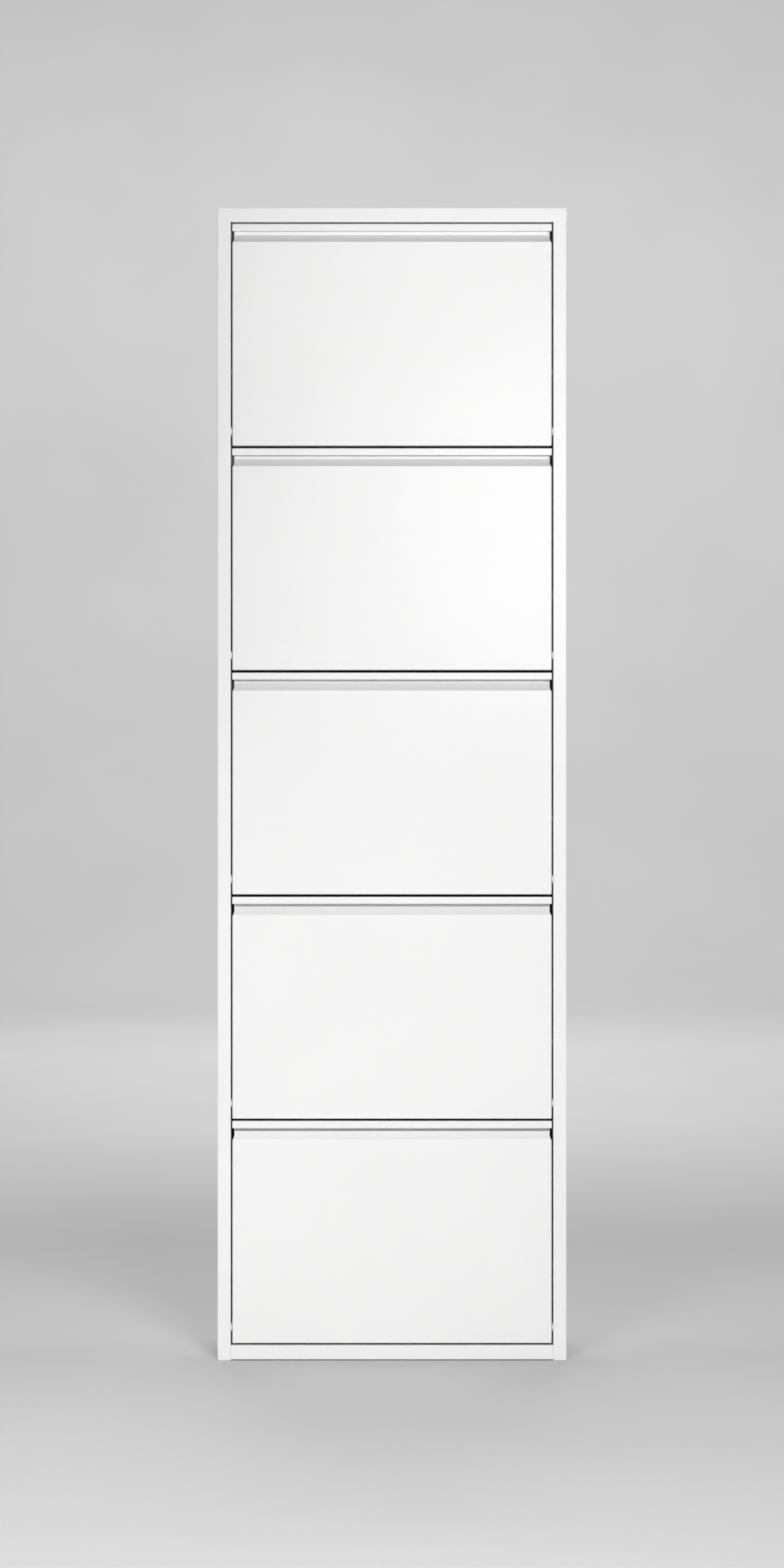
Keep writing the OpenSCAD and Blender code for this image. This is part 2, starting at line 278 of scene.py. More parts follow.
def turned(profile, around=40, closed=False, six_sided=()):
    """A turned part about the x axis: each (x, radius) of the profile is carried round it.

    The rows listed in six_sided have a hexagon's radius, which is the row's radius over the cosine of the
    angle from the nearest flat. An open profile starts and ends on the axis, where each end closes on a
    point.
    """
    profile = np.asarray(profile, float)
    angle = 2 * math.pi * np.arange(around) / around
    radius = np.repeat(profile[:, 1:], around, 1)
    from_flat = np.mod(angle, math.pi / 3) - math.pi / 6
    for row in six_sided:
        radius[row] /= np.cos(from_flat)
    x = np.repeat(profile[:, :1], around, 1)
    body = np.stack([x, radius * np.cos(angle), radius * np.sin(angle)], -1)
    if not closed:
        body = body[1:-1]
    vertices = body.reshape(-1, 3)
    here = np.arange(around)
    after = (here + 1) % around
    faces = []
    count = len(body)
    for row in range(count if closed else count - 1):
        low, high = row * around, (row + 1) % count * around
        faces += np.stack([low + here, low + after, high + after, high + here], 1).tolist()
    if not closed:
        ends = np.array([[profile[0, 0], 0, 0], [profile[-1, 0], 0, 0]])
        first, last = len(vertices), len(vertices) + 1
        vertices = np.concatenate([vertices, ends])
        top = (count - 1) * around
        faces += np.stack([after, here, np.full(around, first)], 1).tolist()
        faces += np.stack([top + here, top + after, np.full(around, last)], 1).tolist()
    return vertices, faces


def placed(solid, order=(0, 1, 2), signs=(1, 1, 1), at=(0, 0, 0)):
    """The same solid with its axes taken in another order, turned by signs, and moved."""
    vertices, faces = solid
    return vertices[:, order] * np.asarray(signs) + np.asarray(at), faces


def mirrored(solid):
    """The solid and its mirror image in x."""
    return [solid, placed(solid, signs=(-1, 1, 1))]


def outward(vertices, faces):
    """The faces, all reversed if the solid they enclose has a negative volume."""
    volume = 0
    for size in set(len(f) for f in faces):
        corners = vertices[np.array([f for f in faces if len(f) == size])]
        for k in range(1, size - 1):
            volume += np.sum(corners[:, 0] * np.cross(corners[:, k], corners[:, k + 1]))
    return faces if volume > 0 else [f[::-1] for f in faces]


def piece(name, solids, finish, body, slot, *nodes, rim=None):
    """One visible piece made of closed solids, which rides on a body and stands for the CAD nodes named."""
    vertices, faces = [], []
    count = 0
    for part_vertices, part_faces in solids:
        used = np.unique(np.concatenate([np.ravel(f) for f in part_faces]))
        renumber = np.zeros(len(part_vertices), int)
        renumber[used] = np.arange(len(used))
        kept = part_vertices[used]
        part = outward(kept, [renumber[f].tolist() for f in part_faces])
        faces += [[count + corner for corner in f] for f in part]
        vertices.append(kept)
        count += len(used)
    mesh = bpy.data.meshes.new(name)
    mesh.from_pydata(np.concatenate(vertices).tolist(), [], faces)
    mesh.polygons.foreach_set("use_smooth", np.ones(len(faces), bool))
    mesh.update()
    mesh.materials.append(finish)
    made = bpy.data.objects.new(name, mesh)
    bpy.context.scene.collection.objects.link(made)
    if rim:
        bevel = made.modifiers.new("rounded rims", "BEVEL")
        bevel.width = rim
        bevel.segments = 2
        bevel.limit_method = "ANGLE"
        bevel.angle_limit = math.radians(50)
        bevel.use_clamp_overlap = False
    shading = made.modifiers.new("flat faces stay flat", "WEIGHTED_NORMAL")
    shading.keep_sharp = False
    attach(made, body)
    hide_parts(*nodes)
    return made


# ---------------------------------------------------------------- finishes

def finish_nodes(name, colour, roughness, metallic=0.0):
    """A new material's node tree, with its shader's own colour, roughness and metal set."""
    material = bpy.data.materials.new(name)
    material.use_nodes = True
    tree = material.node_tree
    shader = tree.nodes["Principled BSDF"]
    shader.inputs["Base Color"].default_value = (*colour, 1)
    shader.inputs["Roughness"].default_value = roughness
    shader.inputs["Metallic"].default_value = metallic
    return material, tree, shader


def noise(tree, scale, detail=2.0, stretch=(1, 1, 1)):
    """Noise on Object coordinates, with scale in features per metre."""
    place = tree.nodes.new("ShaderNodeTexCoord")
    mapping = tree.nodes.new("ShaderNodeMapping")
    mapping.inputs["Scale"].default_value = stretch
    texture = tree.nodes.new("ShaderNodeTexNoise")
    texture.inputs["Scale"].default_value = scale
    texture.inputs["Detail"].default_value = detail
    tree.links.new(place.outputs["Object"], mapping.inputs["Vector"])
    tree.links.new(mapping.outputs["Vector"], texture.inputs["Vector"])
    return texture.outputs["Fac"]


def spread(tree, value, low, high, from_low=0.3, from_high=0.7):
    """Carries a value's middle range onto low to high."""
    node = tree.nodes.new("ShaderNodeMapRange")
    node.inputs["From Min"].default_value = from_low
    node.inputs["From Max"].default_value = from_high
    node.inputs["To Min"].default_value = low
    node.inputs["To Max"].default_value = high
    tree.links.new(value, node.inputs["Value"])
    return node.outputs["Result"]


def tint(tree, value, dark, light):
    """A colour between dark and light, chosen by the value."""
    mix = tree.nodes.new("ShaderNodeMix")
    mix.data_type = "RGBA"
    mix.inputs["A"].default_value = (*dark, 1)
    mix.inputs["B"].default_value = (*light, 1)
    tree.links.new(value, mix.inputs["Factor"])
    return mix.outputs["Result"]


def bump(tree, shader, *layers):
    """Stacks height layers, each (value, strength, height in metres), into the shader's normal."""
    normal = None
    for value, strength, height in layers:
        node = tree.nodes.new("ShaderNodeBump")
        node.inputs["Strength"].default_value = strength
        node.inputs["Distance"].default_value = height
        tree.links.new(value, node.inputs["Height"])
        if normal:
            tree.links.new(normal, node.inputs["Normal"])
        normal = node.outputs["Normal"]
    tree.links.new(normal, shader.inputs["Normal"])


def powder_coat():
    """White satin powder coat: slow swell, orange peel about 1.5 mm across, finer grain, faint cloudiness."""
    material, tree, shader = finish_nodes("white powder coat", (0.82, 0.82, 0.817), 0.42)
    cloud = noise(tree, 5, 3)
    tree.links.new(tint(tree, spread(tree, cloud, 0, 1), (0.812, 0.812, 0.809), (0.83, 0.83, 0.827)),
                   shader.inputs["Base Color"])
    peel = noise(tree, 650, 1)
    grain = noise(tree, 2600, 2)
    tree.links.new(spread(tree, grain, 0.38, 0.47), shader.inputs["Roughness"])
    shader.inputs["Specular IOR Level"].default_value = 0.5
    swell = noise(tree, 3.5, 1)
    bump(tree, shader, (swell, 0.5, 0.25 * MM), (peel, 0.5, 0.035 * MM), (grain, 0.25, 0.005 * MM))
    return material


def zinc_plate():
    """Zinc plate: bright grey metal with a fine crystal pattern in its roughness and its faint tint."""
    material, tree, shader = finish_nodes("zinc plate", (0.62, 0.64, 0.66), 0.35, 1.0)
    spangle = noise(tree, 240, 3)
    tree.links.new(tint(tree, spread(tree, spangle, 0, 1), (0.56, 0.58, 0.6), (0.7, 0.7, 0.68)),
                   shader.inputs["Base Color"])
    tree.links.new(spread(tree, spangle, 0.28, 0.46), shader.inputs["Roughness"])
    bump(tree, shader, (noise(tree, 900, 2), 0.3, 0.01 * MM))
    return material


def turned_steel():
    """Turned steel: fine lines round the x axis, which are noise stretched thin along it."""
    material, tree, shader = finish_nodes("turned steel", (0.58, 0.59, 0.6), 0.3, 1.0)
    lines = noise(tree, 300, 2, (20, 1, 1))
    tree.links.new(spread(tree, lines, 0.24, 0.4), shader.inputs["Roughness"])
    bump(tree, shader, (lines, 0.25, 0.01 * MM))
    return material


def drawn_bar():
    """Bright drawn bar: fine lines along the x axis, which are noise stretched long along it."""
    material, tree, shader = finish_nodes("drawn steel bar", (0.66, 0.67, 0.68), 0.22, 1.0)
    lines = noise(tree, 900, 2, (0.02, 1, 1))
    tree.links.new(spread(tree, lines, 0.16, 0.32), shader.inputs["Roughness"])
    bump(tree, shader, (lines, 0.2, 0.008 * MM))
    return material


def rivet_steel():
    """Dull steel of a blind rivet, with a mottled roughness."""
    material, tree, shader = finish_nodes("rivet steel", (0.5, 0.5, 0.49), 0.4, 1.0)
    mottle = noise(tree, 700, 3)
    tree.links.new(spread(tree, mottle, 0.32, 0.55), shader.inputs["Roughness"])
    bump(tree, shader, (mottle, 0.3, 0.01 * MM))
    return material


def nylon():
    """Natural nylon: milky, slightly warm, with light scattered a little way under the surface."""
    material, tree, shader = finish_nodes("natural nylon", (0.83, 0.81, 0.75), 0.38)
    shader.inputs["Subsurface Weight"].default_value = 0.15
    shader.inputs["Subsurface Radius"].default_value = (0.0012, 0.001, 0.0008)
    mottle = noise(tree, 500, 2)
    tree.links.new(tint(tree, spread(tree, mottle, 0, 1), (0.8, 0.78, 0.71), (0.85, 0.83, 0.78)),
                   shader.inputs["Base Color"])
    bump(tree, shader, (mottle, 0.2, 0.01 * MM))
    return material


def moulded_plastic():
    """Light grey moulded plastic with a fine spark texture."""
    material, tree, shader = finish_nodes("moulded grey plastic", (0.76, 0.76, 0.75), 0.5)
    spark = noise(tree, 1500, 2)
    tree.links.new(spread(tree, spark, 0.45, 0.62), shader.inputs["Roughness"])
    bump(tree, shader, (spark, 0.4, 0.02 * MM))
    return material


WHITE = powder_coat()
ZINC = zinc_plate()
STEEL = turned_steel()
BAR = drawn_bar()
RIVET = rivet_steel()
NYLON = nylon()
PLASTIC = moulded_plastic()


# ---------------------------------------------------------------- places taken from the frame

def corners_of(node):
    return (np.array(corner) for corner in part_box(node))


post_low, post_high = corners_of("side_panel_right")
cap_low, cap_high = corners_of("top_cap")
tray_low, tray_high = corners_of("bottom_tray")
back_low, back_high = corners_of("back_panel")
rail_low, rail_high = corners_of("wall_rail")
flap_low, flap_high = corners_of("flap_1_front")
cheek_low, cheek_high = corners_of("flap_1_cheek_right")
pan_low, pan_high = corners_of("flap_1_pan")
pivot = np.array(PIVOTS["flap_1"])

post_x, front_y = post_low[0], post_low[1]
post_back_y = front_y + 30 * MM
flap_x = flap_high[0]
face_u = flap_low[1] - pivot[1]
top_v = flap_high[2] - pivot[2]
bottom_v = flap_low[2] - pivot[2]
skin_u = face_u + SHEET
stop_place = np.array([13, 88]) * MM
bar_places = np.array([[94, 118], [60, 175]]) * MM
wall_hole_x = 180 * MM
wall_hole_z = (rail_low[2] + rail_high[2]) / 2
stop_head_x = cheek_low[0] - 0.6 * MM


# ---------------------------------------------------------------- the cabinet's sheets

def split(start, end, count):
    """Plain points that divide the run from start to end, without its ends."""
    part = np.linspace(0, 1, count + 2)[1:-1, None]
    return list(np.asarray(start) + part * (np.asarray(end) - np.asarray(start)))


def side_sheet():
    """Side sheet on the right: the post's lip, return and face, the outer wall and rear flange, swept up.

    Round holes in the return take the flap's bushes and stop screws.
    """
    lip, rear_flange = 6 * MM, 16 * MM
    bush_hole, screw_hole = 4.55 * MM, 2.05 * MM
    outer_x, back_y = post_high[0], post_high[1]
    line = fold_line([(post_x + lip, post_back_y), (post_x, post_back_y), (post_x, front_y),
                      (outer_x, front_y), (outer_x, back_y), (outer_x - rear_flange, back_y)])
    places = [(pivot[1], height[2], bush_hole) for height in PIVOTS.values()]
    stop_y, stop_v = pivot[1] + stop_place[0], stop_place[1]
    places += [(stop_y, height[2] + stop_v, screw_hole) for height in PIVOTS.values()]
    cell_ends = [z + side * HOLE_CELL for _, z, _ in places for side in (-1, 1)]
    heights = sorted([post_low[2], post_high[2]] + cell_ends)
    return_row = BEND_STEPS + 1
    holes = [(return_row, heights.index(z - HOLE_CELL), (z, post_x, y), radius) for y, z, radius in places]
    return placed(folded(line, flat_line(heights), holes=holes), (1, 2, 0))


def cap_shell():
    """Top cap: rounded rectangles stacked up its wall, over the bend and on to the top, outside and inside.

    Ring k is the cap's outline moved inwards by the profile's own inset at the profile's height.
    """
    corner, bend, steps = 2.4 * MM, INSIDE_BEND + SHEET, BEND_STEPS
    angle = np.linspace(0, math.pi / 2, steps + 1)
    top = cap_high[2]
    outer = [(0, cap_low[2])] + [(bend - bend * math.cos(a), top - bend + bend * math.sin(a)) for a in angle]
    inner = [(bend - INSIDE_BEND * math.cos(a), top - bend + INSIDE_BEND * math.sin(a)) for a in angle]
    profile = outer + inner[::-1] + [(SHEET, cap_low[2])]
    rings = []
    for move, height in profile:
        x0, y0 = cap_low[:2] + move
        x1, y1 = cap_high[:2] - move
        outline = soften([(x0, y0), (x1, y0), (x1, y1), (x0, y1)], corner - move, 6, closed=True)
        rings.append(np.column_stack([outline, np.full(len(outline), height)]))
    around = len(rings[0])
    here = np.arange(around)
    after = (here + 1) % around
    faces = [(np.arange(around) + (len(outer) - 1) * around).tolist(),
             (np.arange(around)[::-1] + len(outer) * around).tolist()]
    for k in range(len(rings)):
        if k == len(outer) - 1:
            continue
        low, high = k * around, (k + 1) % len(rings) * around
        faces += np.stack([here + low, after + low, after + high, here + high], 1).tolist()
    return np.concatenate(rings), faces


def cap_lip():
    """The strip inside the cap's front edge, which turns back over the top flap."""
    leg, depth, low = 12 * MM, 14.2 * MM, cap_low[2]
    line = fold_line([(front_y, low + leg), (front_y, low), (front_y + depth, low)])
    return folded(line, flat_line(np.linspace(-flap_x, flap_x, 5)))


def tray_sheet():
    """Bottom tray: rear flange, floor, front rail and its return, with the floor's ends folded down."""
    lip, step, clear = 12 * MM, 0.5 * MM, 2 * MM
    low, top, back, wall = tray_low[2], tray_high[2], tray_high[1], tray_high[0]
    corners = [(back, low), (back, top), (back - clear, top)]
    corners += split((back - clear, top), (post_back_y + step, top), 3)
    corners += [(post_back_y + step, top), (post_back_y - step, top), (front_y, top), (front_y, low)]
    corners.append((front_y + lip, low))
    line = fold_line(corners)
    floor = [(-wall, 0)] + split((-wall, 0), (wall, 0), 5) + [(wall, 0)]
    ends = fold_line([(-wall, top - low)] + floor + [(wall, top - low)])
    y, z = line[0].T
    flanged = (z > top - TINY) & (y > post_back_y) & (y < back - clear + TINY)
    widths = np.where(y > post_back_y, wall - INSIDE_BEND - SHEET, post_x)
    return folded(line, ends, flanged, widths)


def back_sheet():
    """Back sheet, with the two wall holes."""
    (x0, y0, z0), (x1, _, z1) = back_low, back_high
    outline = soften([(x0, z0), (x1, z0), (x1, z1), (x0, z1)], 1.5 * MM, closed=True)
    holes = [circle((side * wall_hole_x, wall_hole_z), WALL_HOLE) for side in (-1, 1)]
    return placed(plate([outline, *holes]), (0, 2, 1), at=(0, y0, 0))


def rail_sheet():
    """Channel inside the back, with its flanges forwards and the two wall holes through its web."""
    (x0, y0, z0), (x1, y1, z1) = rail_low, rail_high
    line = fold_line([(y0, z0), (y1, z0), (y1, z1), (y0, z1)])
    hole_places = [side * wall_hole_x for side in (-1, 1)]
    ends = sorted([x0, x1] + [x + move for x in hole_places for move in (-HOLE_CELL, HOLE_CELL)])
    web_row = BEND_STEPS + 1
    holes = [(web_row, ends.index(x - HOLE_CELL), (x, y1, wall_hole_z), WALL_HOLE) for x in hole_places]
    return folded(line, flat_line(ends), holes=holes)


def glide_shapes():
    """Four glides, each a sole that covers the sheet's lower edge and a hollow plug on top of it."""
    plug_height, wall, corner, inner_corner, rim = 11 * MM, 2.5 * MM, 1.5 * MM, 1 * MM, 0.3 * MM
    sole_t = post_low[2]
    outer_x, back_y = post_high[0], post_high[1]
    rear = 17 * MM
    front_box = (post_x, front_y, outer_x, post_back_y)
    rear_box = (outer_x - rear, back_y - rear, outer_x, back_y)
    shapes = []
    for x0, y0, x1, y1 in (front_box, rear_box):
        box = np.array([(x0, y0), (x1, y0), (x1, y1), (x0, y1)])
        sole = plate([soften(box, corner, closed=True)], sole_t, rim, 3)
        plug = inset(box, 2.2 * SHEET)
        hollow = soften(inset(plug, wall), inner_corner, closed=True)[::-1]
        ring = [soften(plug, corner, closed=True), hollow]
        shapes += mirrored(sole) + mirrored(placed(plate(ring, plug_height, rim), at=(0, 0, sole_t)))
    return shapes


def rivet_shape(grip):
    """Blind rivet along x: bulb, shank, and a domed head with the pulled stem's dimple, seated at x = 0."""
    head, rise, shank = 3 * MM, 0.8 * MM, 1.6 * MM
    bulb, bulb_t = 2.3 * MM, 1.5 * MM
    dimple, arc = 0.9 * MM, 1.2
    mouth = 1.15 * dimple
    far = -grip - bulb_t
    bulb_line = soften([(far, 0), (far, bulb), (-grip, bulb), (-grip, shank), (0, shank)],
                       (0.7 * MM, 0.4 * MM, 0.05 * MM))
    angle = np.linspace(0, arc, 7)[:, None]
    height = rise * np.sin(angle) / math.sin(arc)
    dome = np.hstack([height, head - (head - mouth) * (1 - np.cos(angle)) / (1 - math.cos(arc))])
    stem = [(rise * 0.55, dimple), (rise * 0.5, 0)]
    return turned(np.concatenate([bulb_line, dome, stem]), 28)


def back_rivet_shapes():
    """Rivets down the rear flanges, at the cap, and at the wall rail and the tray."""
    column_x, rows, inset_z, inner_x = post_high[0] - 8 * MM, 6, 60 * MM, 110 * MM
    heights = inset_z + np.arange(rows) * (cap_low[2] - 2 * inset_z) / (rows - 1)
    places = [(column_x, z, post_high[1], 2) for z in heights]
    places.append((column_x, (cap_low[2] + cap_high[2]) / 2, cap_high[1], 3))
    places += [(inner_x, z, back_high[1], 2) for z in ((tray_low[2] + tray_high[2]) / 2, wall_hole_z)]
    shapes = []
    for x, z, y, sheets in places:
        shapes += mirrored(placed(rivet_shape(sheets * SHEET), (1, 0, 2), at=(x, y, z)))
    return shapes


# ---------------------------------------------------------------- one flap's pieces, about its pivot

grip_v = top_v - 10.5 * MM
crease_v = grip_v - 15.7 * MM
groove_u = face_u + 13 * MM
junction_v = grip_v - 3.5 * MM
end_radius = 3.8 * MM
end_x = flap_x - 3 * MM
wall_top_v = grip_v + 4 * MM


def groove_end(u):
    """Half-width of the groove's end wall: a straight side, then a quarter circle to the back wall."""
    past = np.clip(u - (groove_u - end_radius), 0, end_radius)
    return end_x - end_radius + np.sqrt(end_radius ** 2 - past ** 2)


def flap_sheet():
    """Flap: hem, grip strip, top, groove, face and bottom return in one fold, with flanges at its sides.

    The strip's upper corners are rounded, and the groove's back and slope end at its end walls.
    """
    hem_d, hem_h, foot, foot_up = 3.8 * MM, 7 * MM, 12 * MM, 7 * MM
    corner, flange = 1.8 * MM, flap_high[1] - flap_low[1]
    flange_top, flange_foot = crease_v - 1.2 * MM, bottom_v + 1.7 * MM
    full_v = grip_v + 6 * MM
    tuck, wall_cover, flare_gap = 0.3 * MM, 1.2 * MM, 0.7 * MM
    flare_rise, flare_run = 6 * MM, 6.5 * MM
    foot_gap, return_depth, return_gap = 0.5 * MM, 2 * MM, 2.5 * MM
    corners = [(face_u + hem_d - SHEET, grip_v + hem_h), (face_u + hem_d - SHEET, grip_v + SHEET),
               (skin_u, grip_v + SHEET)]
    corners += [(skin_u, v) for v in np.linspace(top_v - 2 * corner, top_v - 0.9 * corner, 6)]
    corners += [(skin_u, top_v - SHEET), (groove_u, top_v - SHEET)]
    corners += [(groove_u, v) for v in (full_v, wall_top_v, junction_v)]
    corners += split((groove_u, junction_v), (face_u, crease_v), 14)
    corners += [(face_u, crease_v)]
    corners += [(face_u, v) for v in np.linspace(flange_top, flange_foot, 9)]
    corners += [(face_u, bottom_v), (face_u + foot, bottom_v), (face_u + foot, bottom_v + foot_up)]
    line = fold_line(corners)
    skin = [(-flap_x, 0)] + split((-flap_x, 0), (flap_x, 0), 9) + [(flap_x, 0)]
    ends = fold_line([(-flap_x, flange)] + skin + [(flap_x, flange)])
    u, v = line[0].T
    flanged = (abs(u - face_u) < TINY) & (v < flange_top + TINY) & (v > flange_foot - TINY)
    bend_start = flap_x - INSIDE_BEND - SHEET
    above = np.clip((v - (top_v - corner)) / corner, 0, 1)
    widths = flap_x - corner * (1 - np.sqrt(1 - above ** 2))
    in_groove = (v < top_v - SHEET - TINY) & (u > face_u + hem_d)
    wall = in_groove & (v >= junction_v)
    wall_x = groove_end(groove_u) + wall_cover
    widths[wall] = np.interp(v[wall], [wall_top_v, full_v], [wall_x, flap_x - corner])
    slope = (v < junction_v) & (v > flange_top + TINY)
    flare = np.clip((crease_v + flare_rise - v[slope]) / flare_run, 0, 1) ** 2
    widths[slope] = groove_end(u[slope]) + tuck + flare * (flap_x - end_x - flare_gap)
    below = v <= flange_top + TINY
    widths[below] = bend_start
    widths[below & (v < flange_foot - TINY)] = flap_x - foot_gap
    widths[below & (u > face_u + return_depth)] = flap_x - return_gap
    return folded(line, ends, flanged, widths)


def loft(rings):
    """A closed solid through rings with the same number of points, with its first and last rings filled."""
    rings = np.asarray(rings)
    count, around = rings.shape[:2]
    here = np.arange(around)
    after = (here + 1) % around
    faces = [here[::-1].tolist(), (here + (count - 1) * around).tolist()]
    band = np.stack([here, after, after + around, here + around], 1)
    for first in np.arange(count - 1) * around:
        faces += (band + first).tolist()
    return rings.reshape(-1, 3), faces


def groove_end_wall():
    """Right end wall of the groove: nearly a quarter circle in plan, from the slope up behind the strip.

    Its front edge is thinned, and its last stretch runs straight on into the back wall's thickness.
    """
    arc, run, edge_t, sunk = math.radians(80), 1.8 * MM, 0.3 * MM, 0.4 * MM
    turn = np.linspace(0, arc, 15)
    centre = np.array([end_x - end_radius, groove_u - end_radius])
    normal = np.stack([np.cos(turn), np.sin(turn)], 1)
    plan = centre + end_radius * normal
    plan = np.concatenate([plan, [plan[-1] + run * np.array([-math.sin(arc), math.cos(arc)])]])
    normal = np.concatenate([normal, normal[-1:]])
    thick = np.full(len(plan), SHEET)
    thick[[0, -1]] = edge_t
    back = plan + thick[:, None] * normal
    foot = junction_v - (groove_u - plan[:, 1]) * (junction_v - crease_v) / (groove_u - face_u) - sunk
    head = np.full(len(plan), wall_top_v)
    rings = np.stack([np.column_stack([plan, foot]), np.column_stack([plan, head]),
                      np.column_stack([back, head]), np.column_stack([back, foot])], 1)
    return loft(rings)


def slot_loop(centre, orbit, lean, reach, half):
    """A curved slot's loop, clockwise: two arcs about the centre and a half circle at each end.

    Angles are measured backwards from straight up.
    """
    def arc(middle, radius, angles):
        return np.asarray(middle) + radius * np.stack([np.sin(angles), np.cos(angles)], 1)
    outer = arc(centre, orbit + half, np.linspace(lean, lean + reach, 25))
    far = arc(centre, orbit, [lean + reach])[0]
    near = arc(centre, orbit, [lean])[0]
    inner = arc(centre, orbit - half, np.linspace(lean + reach, lean, 25))
    turn = np.linspace(0, math.pi, 14)[1:-1]
    far_end = arc(far, half, lean + reach + turn)
    near_end = arc(near, half, lean + math.pi + turn)
    return np.concatenate([outer, far_end, inner, near_end])


def cheek_plate():
    """Cheek: a tapered plate with a curved slot round the pivot, two bar holes and the pin hole."""
    pan_v, back_u = cheek_low[2] - pivot[2], cheek_high[1] - pivot[1]
    top, back_v, top_u = cheek_high[2] - pivot[2], 92 * MM, 12 * MM
    outline = soften([(skin_u, pan_v), (back_u, pan_v), (back_u, back_v), (top_u, top), (skin_u, top)],
                     np.array([1, 8, 24, 24, 1]) * MM, 10, closed=True)
    orbit, slot_half = np.linalg.norm(stop_place), 4.15 * MM
    slot = slot_loop((0, 0), orbit, math.atan2(*stop_place), TRAVEL, slot_half)
    holes = [circle(place, PIN_HOLE) for place in (*bar_places, (0, 0))]
    return placed(plate([outline, slot, *holes]), (2, 0, 1), at=(cheek_low[0], 0, 0))


def pan_sheet():
    """Shoe pan: front flange, floor, back wall and lip in one fold, with low flanges against the cheeks."""
    low, top = pan_low[2] - pivot[2], pan_high[2] - pivot[2]
    back, half = pan_high[1] - pivot[1], pan_high[0]
    flange, lip = 6 * MM, 8 * MM
    first, last = skin_u + 3.6 * MM, back - 8 * MM
    corners = [(skin_u, low + flange), (skin_u, low), (first, low)] + split((first, low), (last, low), 3)
    corners += [(last, low), (back, low), (back, top), (back - lip, top)]
    line = fold_line(corners)
    floor = [(-half, 0)] + split((-half, 0), (half, 0), 5) + [(half, 0)]
    ends = fold_line([(-half, flange)] + floor + [(half, flange)])
    u, v = line[0].T
    flanged = (abs(v - low) < TINY) & (u > first - TINY) & (u < last + TINY)
    widths = np.where(flanged, half - INSIDE_BEND - SHEET, half - 0.3 * MM)
    return folded(line, ends, flanged, widths)


def bar_shape():
    """Rest bar with a riveted end through each cheek, turned about x."""
    inner, outer = cheek_low[0], cheek_high[0]
    radius, tenon, head, rise = 3.5 * MM, 2.5 * MM, 4 * MM, 1.2 * MM
    end = [(outer + rise, 0), (outer + rise, 0.55 * head), (outer, head), (outer, tenon), (inner, tenon),
           (inner, radius), (0, radius)]
    half = soften(end, np.array([0.8, 0.5, 0.05, 0.05, 0.35]) * MM)
    return turned(np.concatenate([half[:-1], (half[:-1] * (-1, 1))[::-1]]), 32)


def pin_shape():
    """Pivot pin: a domed head inside the cheek, a shank through it and the bush, and a chamfered end."""
    inner, radius, head, head_t = cheek_low[0], 2.5 * MM, 5 * MM, 1.5 * MM
    tip = post_x + 3.6 * MM
    profile = soften([(inner - head_t, 0), (inner - head_t, 0.7 * head), (inner, head), (inner, radius),
                      (tip - 0.5 * MM, radius), (tip, radius - 0.5 * MM), (tip, 0)],
                     np.array([0.9, 0.35, 0.05, 0.1, 0.1]) * MM)
    return turned(profile, 32)


def ring_shape(corners, rims):
    """A turned ring: its closed section's corners as (x, radius), each rounded."""
    return turned(soften(corners, np.asarray(rims) * MM, closed=True), 40, closed=True)


def bush_shape():
    """Flanged bush: the flange stands towards the flap and the sleeve passes through the post."""
    sleeve, flange, flange_t, end = 4.5 * MM, 6.5 * MM, 1.6 * MM, post_x + 3 * MM
    face = post_x - flange_t
    section = [(face, PIN_HOLE), (end, PIN_HOLE), (end, sleeve), (post_x, sleeve), (post_x, flange),
               (face, flange)]
    return ring_shape(section, [0.25, 0.2, 0.4, 0.05, 0.3, 0.4])


def sleeve_shape():
    """Nylon sleeve between the stop screw's head and the post."""
    bore, radius = 2.05 * MM, 4 * MM
    section = [(stop_head_x, bore), (post_x, bore), (post_x, radius), (stop_head_x, radius)]
    return ring_shape(section, [0.1, 0.1, 0.3, 0.3])


def stop_screw_shape():
    """Stop screw: a low head with a six-sided socket, and a shank through sleeve, post and nut."""
    head_t, head, chamfer = 1.4 * MM, 6.5 * MM, 0.4 * MM
    socket, depth, shank = 1.5 * MM, 1.0 * MM, 2 * MM
    tip = post_x + SHEET + 4 * MM
    face = stop_head_x - head_t
    front = [(face + depth, 0), (face + depth, socket), (face, socket)]
    rest = soften([(face, 1.2 * socket), (face, head), (stop_head_x, head), (stop_head_x, shank),
                   (tip - chamfer, shank), (tip, shank - chamfer), (tip, 0)],
                  np.array([0.7, 0.3, 0.05, 0.1, 0.1]) * MM)
    return turned(np.concatenate([front, rest]), 36, six_sided=(1, 2))


def nut_shape():
    """Six-sided nut inside the post: its flats, with the corners turned off at both faces by a cone."""
    near, thick, across, bore, cut = post_x + SHEET, 3.2 * MM, 3.64 * MM, 2.02 * MM, 0.4 * MM
    far, flat = near + thick, 0.96 * across
    section = [(near, bore), (far, bore), (far, flat), (far - cut, across), (near + cut, across),
               (near, flat)]
    return turned(section, 36, closed=True, six_sided=(3, 4))


# ---------------------------------------------------------------- assembly

right_side = side_sheet()
piece("side_sheet_right", [right_side], WHITE, "cabinet", "white_steel", "side_panel_right", rim=RIM)
left_side = placed(right_side, signs=(-1, 1, 1))
piece("side_sheet_left", [left_side], WHITE, "cabinet", "white_steel", "side_panel_left", rim=RIM)
piece("cap_shell", [cap_shell(), cap_lip()], WHITE, "cabinet", "white_steel", "top_cap", rim=RIM)
piece("tray_sheet", [tray_sheet()], WHITE, "cabinet", "white_steel", "bottom_tray", rim=RIM)
piece("back_sheet", [back_sheet()], WHITE, "cabinet", "white_steel", "back_panel")
piece("rail_sheet", [rail_sheet()], ZINC, "cabinet", "zinc_steel", "wall_rail", rim=RIM)
piece("glides", glide_shapes(), PLASTIC, "cabinet", "glide_plastic", "floor_glides")
piece("rivets", back_rivet_shapes(), RIVET, "cabinet", "rivet_steel", "back_rivets")

